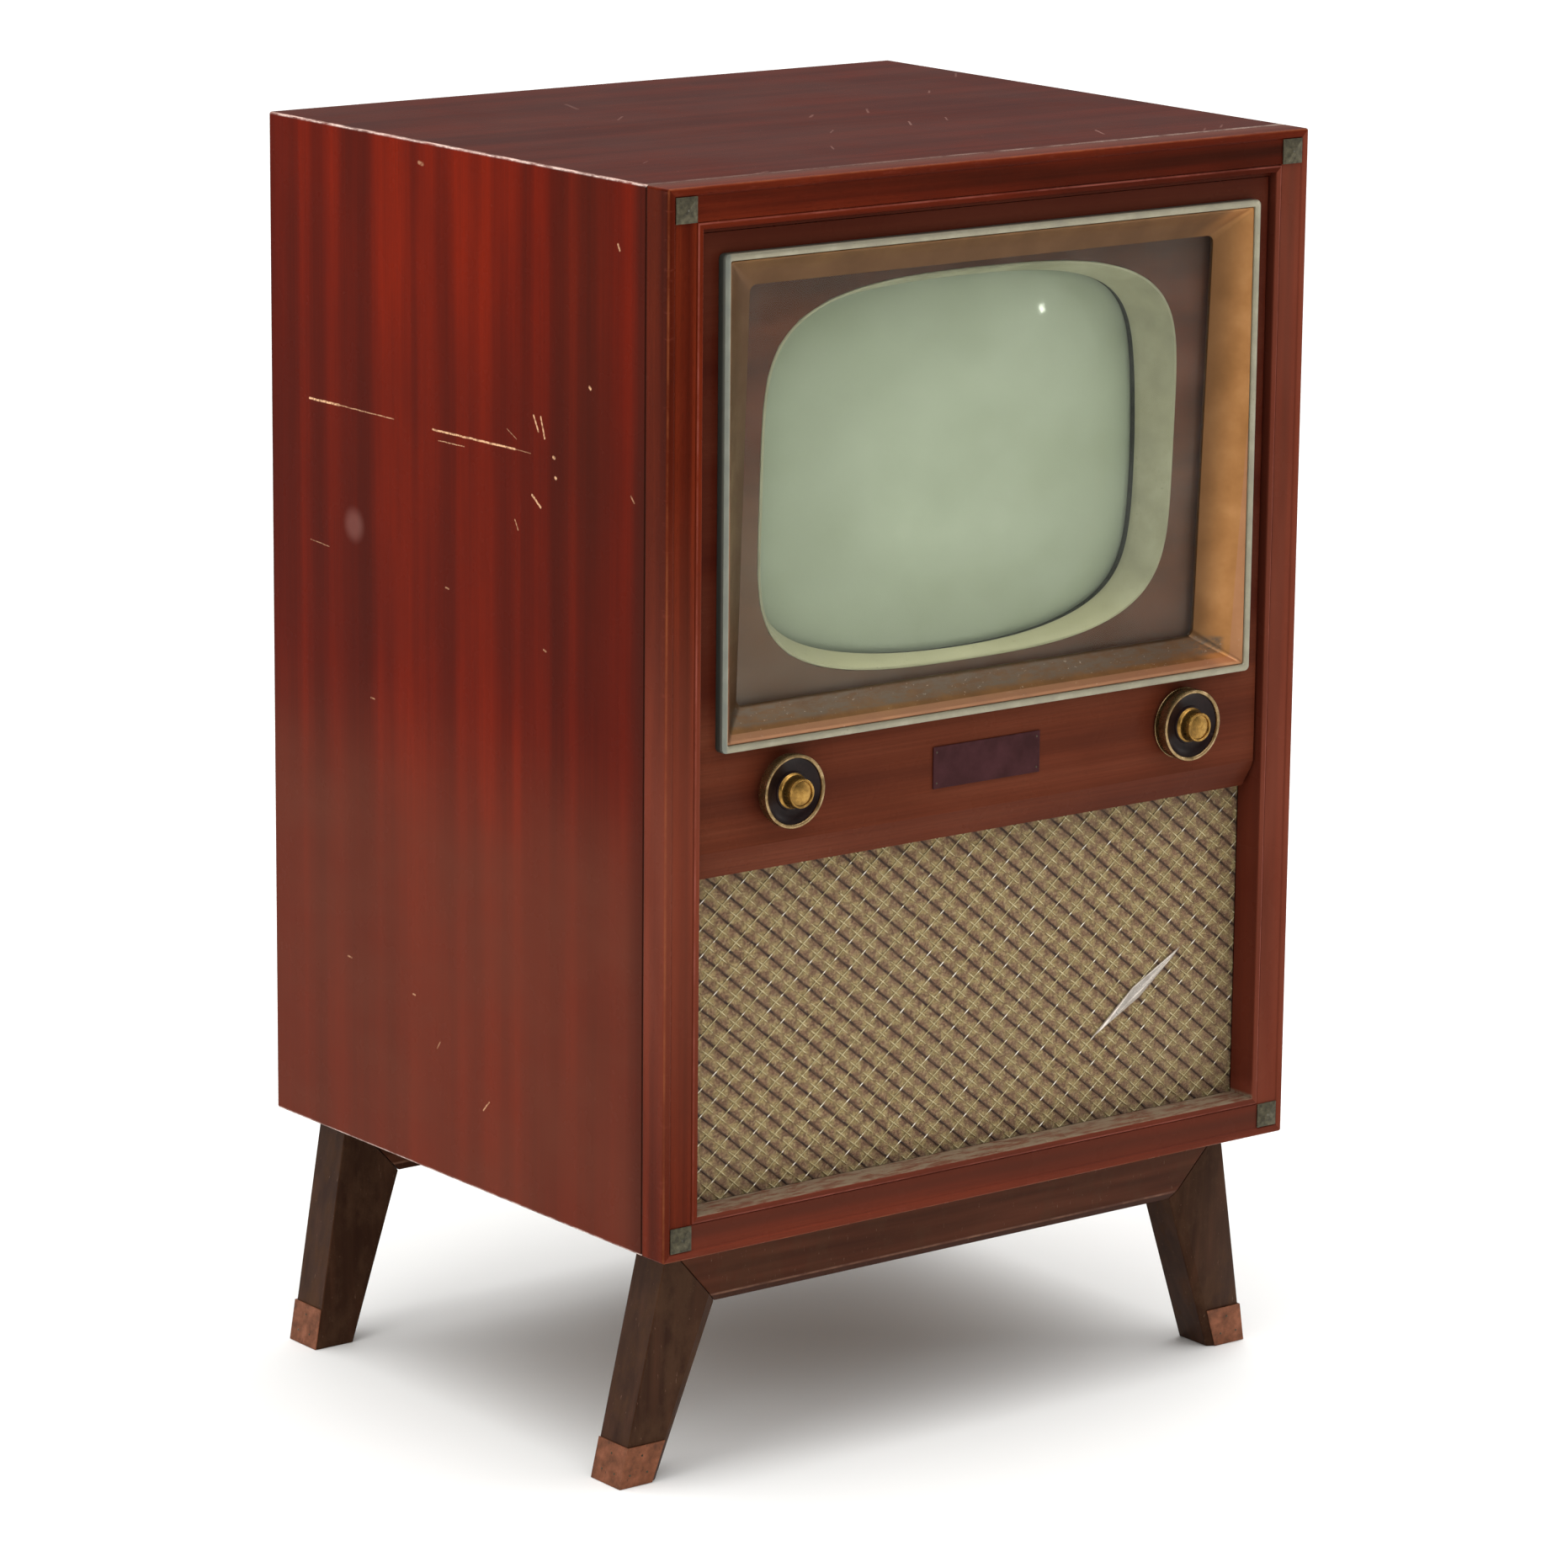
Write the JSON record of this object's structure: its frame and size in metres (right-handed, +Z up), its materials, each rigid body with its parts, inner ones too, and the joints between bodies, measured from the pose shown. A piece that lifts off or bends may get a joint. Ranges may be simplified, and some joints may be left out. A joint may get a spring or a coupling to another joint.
{
  "type": "console television cabinet",
  "caption": "Upright wooden console television on splayed tapered legs, with a recessed picture tube, concentric control knobs and a cloth loudspeaker grille.",
  "frame": {"origin": "on the floor, under the middle of the whole set's bounding box", "axes": "+Z up, -Y towards the viewer of the screen, +X to that viewer's right"},
  "size_m": [0.6226, 0.538, 0.987],
  "materials": {
    "side_mahogany": "gloss",
    "top_mahogany": "gloss",
    "raw_wood": "matte",
    "frame_mahogany": "satin",
    "panel_mahogany": "satin",
    "antique_brass": "worn",
    "plate_plum": "satin",
    "trim_metal": "satin",
    "gold_paint": "satin",
    "clear_glass": "gloss",
    "mask_brown": "matte",
    "halo_green": "satin",
    "rubber": "matte",
    "tube_glass": "gloss",
    "black_paint": "satin",
    "bakelite": "gloss",
    "grille_cloth": "woven",
    "tin_plate": "satin",
    "paper": "matte",
    "steel": "satin",
    "disc_plastic": "gloss",
    "polished_brass": "polished",
    "hardboard": "matte",
    "base_wood": "satin",
    "copper": "worn"
  },
  "bodies": {
    "cabinet": {"left_side_panel": "side_mahogany", "right_side_panel": "side_mahogany", "top_panel": "top_mahogany", "bottom_panel": "raw_wood", "speaker_board": "raw_wood", "chassis_shelf": "raw_wood", "front_left_stile": "frame_mahogany", "front_right_stile": "frame_mahogany", "front_top_rail": "frame_mahogany", "front_bottom_rail": "frame_mahogany", "front_panel": "panel_mahogany", "top_left_stud": "antique_brass", "top_right_stud": "antique_brass", "bottom_left_stud": "antique_brass", "bottom_right_stud": "antique_brass", "nameplate": "plate_plum", "bezel_trim": "trim_metal", "grille_ornament": "trim_metal", "bezel_liner": "gold_paint", "safety_glass": "clear_glass", "vacuum_tube": "clear_glass", "screen_mask": "mask_brown", "halo_ring": "halo_green", "tube_gasket": "rubber", "picture_tube": "tube_glass", "deflection_yoke": "black_paint", "power_transformer": "black_paint", "tube_socket": "bakelite", "antenna_terminal_board": "bakelite", "interlock_inlet": "bakelite", "grille_cloth": "grille_cloth", "speaker_frame": "tin_plate", "dual_control": "tin_plate", "tuner": "tin_plate", "high_voltage_cage": "tin_plate", "speaker_cone": "paper", "speaker_magnet": "steel", "chassis": "steel", "back_cover": "hardboard", "front_base_rail": "base_wood", "rear_base_rail": "base_wood", "front_left_leg": "base_wood", "front_right_leg": "base_wood", "rear_left_leg": "base_wood", "rear_right_leg": "base_wood", "front_left_sabot": "copper", "front_right_sabot": "copper", "rear_left_sabot": "copper", "rear_right_sabot": "copper"},
    "contrast": {"contrast_knob": "disc_plastic", "contrast_shaft": "steel"},
    "volume": {"volume_knob": "polished_brass", "volume_shaft": "steel"},
    "channel": {"channel_knob": "disc_plastic", "channel_shaft": "steel"},
    "fine_tuning": {"fine_tuning_knob": "polished_brass", "fine_tuning_shaft": "steel"},
    "horizontal_hold": {"horizontal_hold_knob": "bakelite"},
    "vertical_hold": {"vertical_hold_knob": "bakelite"},
    "brightness": {"brightness_knob": "bakelite"}
  },
  "joints": [
    {"name": "contrast_turn", "type": "hinge", "parent": "cabinet", "child": "contrast", "pos_m": [-0.1933, -0.251, 0.5335], "axis": [0, 1, 0], "range_deg": [-150, 150]},
    {"name": "volume_turn", "type": "hinge", "parent": "cabinet", "child": "volume", "pos_m": [-0.1933, -0.251, 0.5335], "axis": [0, 1, 0], "range_deg": [0, 300]},
    {"name": "channel_turn", "type": "hinge", "parent": "cabinet", "child": "channel", "pos_m": [0.1933, -0.251, 0.5335], "axis": [0, 1, 0], "continuous": true},
    {"name": "fine_tuning_turn", "type": "hinge", "parent": "cabinet", "child": "fine_tuning", "pos_m": [0.1933, -0.251, 0.5335], "axis": [0, 1, 0], "range_deg": [-150, 150]},
    {"name": "horizontal_hold_turn", "type": "hinge", "parent": "cabinet", "child": "horizontal_hold", "pos_m": [-0.062, 0.26, 0.532], "axis": [0, -1, 0], "range_deg": [-150, 150]},
    {"name": "vertical_hold_turn", "type": "hinge", "parent": "cabinet", "child": "vertical_hold", "pos_m": [0, 0.26, 0.532], "axis": [0, -1, 0], "range_deg": [-150, 150]},
    {"name": "brightness_turn", "type": "hinge", "parent": "cabinet", "child": "brightness", "pos_m": [0.062, 0.26, 0.532], "axis": [0, -1, 0], "range_deg": [-150, 150]}
  ]
}
